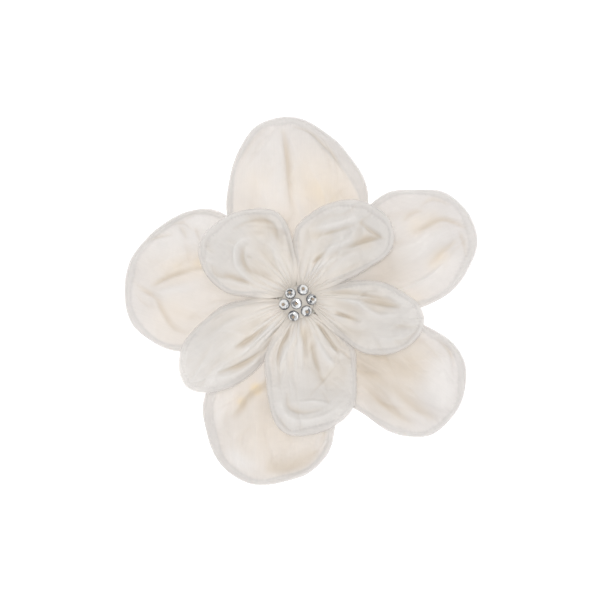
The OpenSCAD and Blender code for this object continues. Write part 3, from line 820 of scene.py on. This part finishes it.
def makeThreadMaterial(name, light, dark):
    material, tree = newMaterial(name)
    fibre = noiseNode(tree, objectPlace(tree), 2600, 4)
    rough = mathNode(tree, "MULTIPLY_ADD", fibre, 0.2, 0.4)
    gloss = {"Sheen Weight": 0.3, "Sheen Roughness": 0.35}
    finish(tree, skinNode(tree, mixColour(tree, fibre, dark, light), rough, gloss,
                          Normal=bumpNode(tree, fibre, 0.4, 0.00006)))
    return material


def onDome(place):
    # the frame a stone stands in on the button, in millimetres
    dx, dy = place[0] - button["place"][0], place[1] - button["place"][1]
    lean = math.asin(math.hypot(dx, dy) / button["domeRadius"])
    centre = Matrix.Translation((*button["place"], button["top"] - button["domeRadius"]))
    turned = Matrix.Rotation(math.atan2(dy, dx), 4, "Z") @ Matrix.Rotation(lean, 4, "Y")
    standing = centre @ turned @ Matrix.Translation((0, 0, button["domeRadius"] + stone["gap"]))
    return standing, math.atan2(dy, dx)


def makeButton():
    # silk pulled over a small mould and tucked in under it
    r0, around, (centreX, centreY) = button["domeRadius"], button["around"], button["place"]
    edgeAngle = math.asin(button["edgeRadius"] / r0)
    profile = [(r0 * math.sin(edgeAngle * k / 12), button["top"] - r0 + r0 * math.cos(edgeAngle * k / 12),
                max(0, k / 12 - 0.45)) for k in range(1, 13)]
    # the underside and the stalk: radius, height, how deep the tucks are
    profile += [(5.68, 16.08, 0.5), (5.5, 15.98, 1.0), (4.4, 15.95, 1.0), (3.2, 15.9, 0.9), (2.7, 15.4, 0.5),
                (2.6, 14, 0.3), (2.6, 12, 0.3), (2.6, button["foot"], 0.3)]
    points = [(centreX, centreY, button["top"])]
    for radius, height, tuck in profile:
        for k in range(around):
            angle = 2 * math.pi * k / around
            ripple = abs(math.sin(angle * button["tucks"] / 2 + 0.4 * math.sin(3 * angle)))
            r = radius - button["tuckDepth"] * tuck * (1 - ripple)
            lump = 0.03 * math.sin(5 * angle) * (1 - tuck) * radius / 6
            points.append((centreX + r * math.cos(angle), centreY + r * math.sin(angle),
                           height + lump - 0.2 * tuck * (1 - ripple)))
    faces = [(0, 1 + k, 1 + (k + 1) % around) for k in range(around)]
    for i in range(len(profile) - 1):
        for k in range(around):
            a, b = 1 + i * around, 1 + (i + 1) * around
            n = (k + 1) % around
            faces.append((a + k, b + k, b + n, a + n))
    last = 1 + (len(profile) - 1) * around
    faces.append(tuple(last + k for k in range(around))[::-1])
    piece = makeMesh("silkButton", points, faces)
    buttonSilk = makeClothMaterial("buttonSilk", button["light"], button["dark"], button["weavePitch"],
                                   button["sheen"])
    fitPiece(piece, buttonSilk, "pad_cloth", "bead_pad")


def makeCrystalMaterial():
    # clear stone over a bright foil; each facet's colour is a painted reflection, bright or dark, under its
    # real gloss
    material, tree = newMaterial("crystal")
    # each facet's painted reflection: its tone from near black to white, with a blue tint on some facets
    bright = mixColour(tree, readValue(tree, "tint"), (0.97, 0.97, 0.96), (0.74, 0.85, 0.97))
    colour = mixColour(tree, readValue(tree, "tone"), (0.03, 0.033, 0.045), bright)
    flaw = noiseNode(tree, objectPlace(tree), 1400, 2)
    rough = mathNode(tree, "MULTIPLY_ADD", flaw, 0.1, 0.04)
    gloss = {"Metallic": 0.3, "Specular IOR Level": 0.8, "Coat Weight": 1.0, "Coat Roughness": 0.03}
    finish(tree, skinNode(tree, colour, rough, gloss))
    return material


def makeCrystals():
    material = makeCrystalMaterial()
    count = stone["facets"]
    rings = [(stone["hole"], 1.4)] + stone["crown"] + stone["back"] + [(stone["hole"], 0.1)]
    for index, design in enumerate(crystals):
        rng = np.random.default_rng(70 + index)
        frameOf, bearing = onDome(design["place"])
        points, faces, tones, tints = [], [], [], []
        for i, (radius, height) in enumerate(rings):
            for k in range(count):
                angle = 2 * math.pi * (k + 0.5 * (i % 2)) / count
                points.append(frameOf @ Vector((radius * math.cos(angle), radius * math.sin(angle), height)))
        for i in range(len(rings)):
            for k in range(count):
                n = (k + 1) % count
                a, b = i * count, (i + 1) % len(rings) * count
                if i % 2 == 0:
                    pair = ((a + k, b + k, a + n), (a + n, b + k, b + n))
                else:
                    pair = ((a + k, b + k, b + n), (a + k, b + n, a + n))
                angle = math.degrees(2 * math.pi * (k + 0.75) / count + bearing)
                for face in pair:
                    faces.append(face)
                    low, high = stone["tones"][min(i, 5)]
                    tone = rng.uniform(low, high)
                    for where, start, end, brightness in design["dark"]:
                        if where + 1 == i and (angle - start) % 360 <= (end - start):
                            tone = brightness * rng.uniform(0.6, 1.3)
                    if i in (0, len(rings) - 1):
                        tone = stone["holeTone"]
                    tones.append(tone)
                    tints.append(max(0, rng.normal(-0.15, 0.4)))
        piece = makeMesh(f"crystal{index + 1}", points, faces, smooth=False)
        addFaceValues(piece, "tone", tones)
        addFaceValues(piece, "tint", np.clip(tints, 0, 1))
        fitPiece(piece, material, "crystal", f"crystal_{index + 1}")


def makeTies():
    # a doubled thread through each stone, finished with a small overhand knot
    parts = []
    for design in crystals:
        frameOf, _ = onDome(design["place"])
        post = [frameOf @ Vector((0, 0, z)) for z in np.linspace(-0.1, tie["knotHeight"] - 0.2, 24)]
        parts.append(twistedThread(post, tie["postRadius"], 1.0))
        t = np.linspace(0, 2 * math.pi, 41)[:-1]
        size = tie["knotSize"] / 3
        knot = np.column_stack([size * (np.sin(t) + 2 * np.sin(2 * t)),
                                size * (np.cos(t) - 2 * np.cos(2 * t)),
                                tie["knotHeight"] - 0.16 - size * 1.6 * np.sin(3 * t)])
        parts.append(tubeAlong([frameOf @ Vector(p) for p in knot], tie["knotRadius"], 7, True))
    piece = makeMesh("crystalTies", *joinParts(parts))
    fitPiece(piece, makeThreadMaterial("tieThread", tie["light"], tie["dark"]), "thread", "crystal_ties")


makeButton()
makeCrystals()
makeTies()
print("button and crystals made")


# backing: buckram, felt and sewing

gathers = [{"name": "outerGather", "node": "outer_gather_thread", "radius": 7.9, "height": 12.85,
            "bites": 30},
           {"name": "innerGather", "node": "inner_gather_thread", "radius": 4.7, "height": 14.85,
            "bites": 20}]
backing = {"feltRadius": 19, "feltUnder": 8.6, "feltTop": 9.8, "buckramRadius": 16, "buckramTop": 10.6,
           "stitches": 28, "stitchRadius": 17.2, "stitchLength": 2.2, "stitchThread": 0.2, "clearY": 6.7,
           "fibres": 900, "fibreRadius": 0.022}
clipSewing = {"at": (-16.2, -15.4, 2.6, 3.4, 14.6, 15.4), "halfWidth": 5.5, "under": 7.5, "thread": 0.25}


def makeDisc(radius, under, top, wobble, seed, rings=40, around=180):
    # a flat cut disc with soft edges
    rng = np.random.default_rng(seed)
    rimNoise = np.array([0.5 * math.sin(7 * a + seed) + 0.3 * math.sin(19 * a) + 0.2 * math.sin(43 * a + 1)
                         for a in np.linspace(0, 2 * math.pi, around, endpoint=False)])
    points, faces = [(0, 0, top), (0, 0, under)], []
    for skin in (0, 1):
        for i in range(1, rings + 1):
            share = math.sin(math.pi / 2 * i / rings)
            for k in range(around):
                angle = 2 * math.pi * k / around
                r = radius * share + wobble * rimNoise[k] * share ** 8 - wobble
                close = np.clip((1 - share) * radius / 0.5, 0, 1)
                half = (top - under) / 2 * math.sqrt(1 - (1 - close) ** 2) if i < rings else 0
                lump = wobble * 0.3 * math.sin(r * 1.7 + 3 * math.sin(angle * 5 + skin)) * close
                away = (half - abs(lump)) * (1 if skin == 0 else -1)
                z = (top + under) / 2 + away + rng.uniform(-1, 1) * 0.006
                points.append((r * math.cos(angle), r * math.sin(angle), z))
    size = rings * around
    for k in range(around):
        n = (k + 1) % around
        faces.append((0, 2 + k, 2 + n))
        faces.append((1, 2 + size + n, 2 + size + k))
        for i in range(rings - 1):
            a, b = 2 + i * around, 2 + (i + 1) * around
            faces.append((a + k, b + k, b + n, a + n))
            if i < rings - 2:
                faces.append((size + a + n, size + b + n, size + b + k, size + a + k))
            else:
                faces.append((size + a + n, b + n, b + k, size + a + k))
    return points, faces


def makeBacking():
    points, faces = makeDisc(backing["feltRadius"], backing["feltUnder"], backing["feltTop"], 0.12, 5)
    piece = makeMesh("feltDisc", points, faces)
    fitPiece(piece, makeFeltMaterial(), "felt", "felt_backing")
    makeFeltFibres()
    points, faces = makeDisc(backing["buckramRadius"], backing["feltTop"], backing["buckramTop"], 0.05, 9)
    disc = makeMesh("buckramDisc", points, faces)
    weave = makeClothMaterial("buckramWeave", (0.74, 0.72, 0.66), (0.42, 0.40, 0.35), 1.1, 0.1, 0.9)
    fitPiece(disc, weave, "buckram", "buckram_disc")


def makeFeltMaterial():
    material, tree = newMaterial("whiteFelt")
    place = objectPlace(tree)
    matted = noiseNode(tree, place, 900, 6, 0.7)
    patch = noiseNode(tree, place, 130, 3)
    colour = mixColour(tree, matted, (0.62, 0.61, 0.58), (0.80, 0.79, 0.76))
    colour = mixColour(tree, mathNode(tree, "MULTIPLY", patch, 0.3), colour, (0.70, 0.67, 0.61))
    rough = mathNode(tree, "MULTIPLY_ADD", matted, 0.15, 0.82)
    gloss = {"Sheen Weight": 0.5, "Sheen Roughness": 0.6, "Specular IOR Level": 0.1}
    finish(tree, skinNode(tree, colour, rough, gloss, Normal=bumpNode(tree, matted, 0.7, 0.0003)))
    return material


def makeFeltFibres():
    # loose wool standing off the cut edge and the underside
    rng = np.random.default_rng(12)
    parts = []
    for k in range(backing["fibres"]):
        angle = rng.uniform(0, 2 * math.pi)
        onEdge = k % 2 == 0
        r = backing["feltRadius"] - 0.3
        if not onEdge:
            r = backing["feltRadius"] * math.sqrt(rng.uniform(0.02, 0.98))
        z = backing["feltUnder"] + 0.08
        if onEdge:
            z = rng.uniform(backing["feltUnder"] + 0.2, backing["feltTop"] - 0.2)
        start = np.array([r * math.cos(angle), r * math.sin(angle), z])
        out = np.array([math.cos(angle), math.sin(angle), rng.uniform(-0.5, 0.3)]) if onEdge else \
            np.array([rng.normal(), rng.normal(), -0.35])
        out = out / np.linalg.norm(out)
        sideways = np.array([rng.normal(), rng.normal(), 0.1 * rng.normal()])
        length = rng.uniform(0.35, 0.8) if onEdge else rng.uniform(0.4, 0.9)
        t = np.linspace(0, 1, 5)[:, None]
        curl = out * t * length + sideways * 0.35 * t * t * length
        if not onEdge:
            curl[:, 2] = -0.12 * np.sin(math.pi * t[:, 0])
        parts.append(tubeAlong(start + curl, backing["fibreRadius"], 3))
    piece = makeMesh("feltFibres", *joinParts(parts))
    fitPiece(piece, makeThreadMaterial("woolFibre", (0.80, 0.79, 0.76), (0.66, 0.65, 0.61)), "felt")
    return piece


def makeSewing():
    sewingThread = makeThreadMaterial("sewingThread", (0.80, 0.79, 0.76), (0.60, 0.58, 0.54))
    for ring in gathers:
        angle = np.linspace(0, 2 * math.pi, 361)[:-1]
        r = ring["radius"] + 0.05 * np.sin(angle * ring["bites"] + 1)
        path = np.column_stack([r * np.cos(angle), r * np.sin(angle),
                                ring["height"] + 0.09 * np.sin(angle * ring["bites"])])
        piece = makeMesh(ring["name"], *twistedThread(path, 0.23, 1.1, closed=True))
        fitPiece(piece, sewingThread, "thread", ring["node"])
    parts = []
    rng = np.random.default_rng(31)
    for k in range(backing["stitches"]):
        middle = 2 * math.pi * (k + 0.5) / backing["stitches"]
        if abs(backing["stitchRadius"] * math.sin(middle)) <= backing["clearY"]:
            continue
        long = backing["stitchLength"] * rng.uniform(0.88, 1.06)
        slant = rng.normal(0, 0.08)
        t = np.linspace(-1, 1, 25)
        along = t * long / 2
        z = backing["feltUnder"] - backing["stitchThread"] + 0.75 * np.abs(t) ** 6
        radial = backing["stitchRadius"] + slant * t
        path = np.column_stack([radial * math.cos(middle) - along * math.sin(middle),
                                radial * math.sin(middle) + along * math.cos(middle), z])
        parts.append(twistedThread(path, backing["stitchThread"], 0.8))
    piece = makeMesh("feltStitches", *joinParts(parts))
    fitPiece(piece, sewingThread, "thread", "felt_stitches")
    parts = []
    w, low, high = clipSewing["halfWidth"], clipSewing["under"], backing["feltUnder"] + 0.35
    for x in clipSewing["at"]:
        corners = [(x, -w, high), (x, -w, low + 0.35), (x, -w + 0.3, low), (x, 0, low - 0.03),
                   (x, w - 0.3, low), (x, w, low + 0.35), (x, w, high)]
        parts.append(twistedThread(curveThrough(corners, 80), clipSewing["thread"], 1.0))
    piece = makeMesh("clipStitches", *joinParts(parts))
    fitPiece(piece, sewingThread, "thread", "clip_stitches")


makeBacking()
makeSewing()
print("backing and sewing made")


# clip

spring = {"pivot": (-6, 0, 4.4), "radius": 1.65, "wire": 0.3, "turns": 3.5, "half": 1.44, "leg": 8,
          "upperLeg": 3.05, "colour": (0.50, 0.50, 0.52), "worn": (0.34, 0.33, 0.33), "rough": 0.24}
plate = {"colour": (0.80, 0.79, 0.76), "worn": (0.62, 0.60, 0.56), "rough": 0.18}
pin = {"colour": (0.60, 0.59, 0.57), "worn": (0.42, 0.40, 0.38), "rough": 0.26}


def makeSteel(name, look):
    material, tree = newMaterial(name)
    place = objectPlace(tree)
    brushed = noiseNode(tree, scaleVector(tree, place, (60, 900, 900)), 1.0, 4)
    handled = noiseNode(tree, place, 160, 3)
    tone = mixColour(tree, mathNode(tree, "MULTIPLY", handled, 0.6), look["colour"], look["worn"])
    gloss = mathNode(tree, "MULTIPLY_ADD", handled, 0.1, look["rough"])
    gloss = mathNode(tree, "MULTIPLY_ADD", brushed, 0.16, gloss)
    normal = bumpNode(tree, brushed, 0.12, 0.00004)
    finish(tree, skinNode(tree, tone, gloss, {"Metallic": 1.0}, Normal=normal))
    return material


def makeSpring():
    w, r = spring["half"], spring["radius"]
    path = [(-spring["leg"], -w, spring["upperLeg"]), (-5.5, -w, spring["upperLeg"]),
            (-3.6, -w, spring["upperLeg"] - 0.1), (-1.6, -w, 2.1)]
    steps = 84
    for k in range(steps + 1):
        angle = math.radians(90 - 360 * spring["turns"] * k / steps)
        path.append((r * math.cos(angle), -w + 2 * w * k / steps, r * math.sin(angle)))
    path += [(-2, w, -1.55), (-4, w, -1.4), (-6, w, -1.75), (-spring["leg"], w, -r - 0.55)]
    path = np.array(path) + np.array(spring["pivot"])
    piece = makeMesh("clipSpring", *tubeAlong(curveThrough(path, 360), spring["wire"], 12))
    giveMaterial(piece, makeSteel("springSteel", spring))
    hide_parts("clip_spring")
    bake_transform(piece)


plated = makeSteel("platedSteel", plate)
giveMaterial(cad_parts["clip_upper_arm"], plated)
giveMaterial(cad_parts["clip_lower_arm"], plated)
giveMaterial(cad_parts["clip_hinge_pin"], makeSteel("pinSteel", pin))
makeSpring()
print("clip made")
